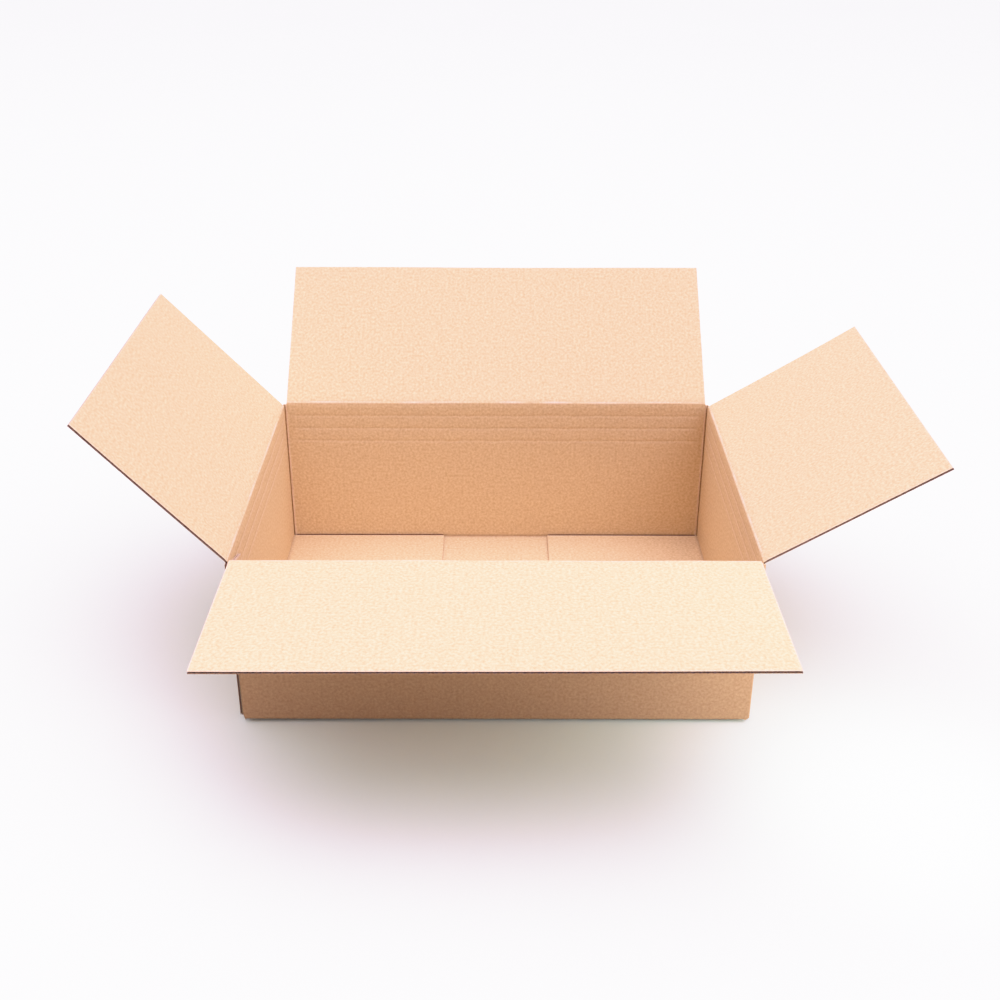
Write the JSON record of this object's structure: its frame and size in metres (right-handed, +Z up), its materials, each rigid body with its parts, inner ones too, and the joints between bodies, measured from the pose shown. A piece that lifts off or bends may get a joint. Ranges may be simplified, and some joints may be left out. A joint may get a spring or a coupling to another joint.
{
  "type": "open cardboard box",
  "caption": "Low rectangular box folded from corrugated board, open at the top, with hinged top flaps, a glued corner joint and depth scores round the inside, for packing and shipping.",
  "frame": {"origin": "middle of the base, on the surface that the box stands on", "axes": "+X along the length, to the right seen from the front; +Y to the back wall; +Z up out of the mouth"},
  "size_m": [0.4881, 0.4307, 0.195],
  "materials": {
    "kraft_board": "matte brown kraft",
    "kraft_fluted": "matte brown kraft"
  },
  "bodies": {
    "carton": {"carton_body": "kraft_board"},
    "front_flap": {"front_flap": "kraft_fluted"},
    "back_flap": {"back_flap": "kraft_fluted"},
    "left_flap": {"left_flap": "kraft_fluted"},
    "right_flap": {"right_flap": "kraft_fluted"}
  },
  "joints": [
    {"name": "front_flap_crease", "type": "hinge", "parent": "carton", "child": "front_flap", "pos_m": [0, -0.115, 0.111], "axis": [-1, 0, 0], "range_deg": [-66.5, 178.5]},
    {"name": "back_flap_crease", "type": "hinge", "parent": "carton", "child": "back_flap", "pos_m": [0, 0.115, 0.111], "axis": [1, 0, 0], "range_deg": [-105.5, 139.5]},
    {"name": "left_flap_crease", "type": "hinge", "parent": "carton", "child": "left_flap", "pos_m": [-0.155, 0, 0.1093], "axis": [0, 1, 0], "range_deg": [-112, 133]},
    {"name": "right_flap_crease", "type": "hinge", "parent": "carton", "child": "right_flap", "pos_m": [0.155, 0, 0.1093], "axis": [0, -1, 0], "range_deg": [-96, 149]}
  ]
}
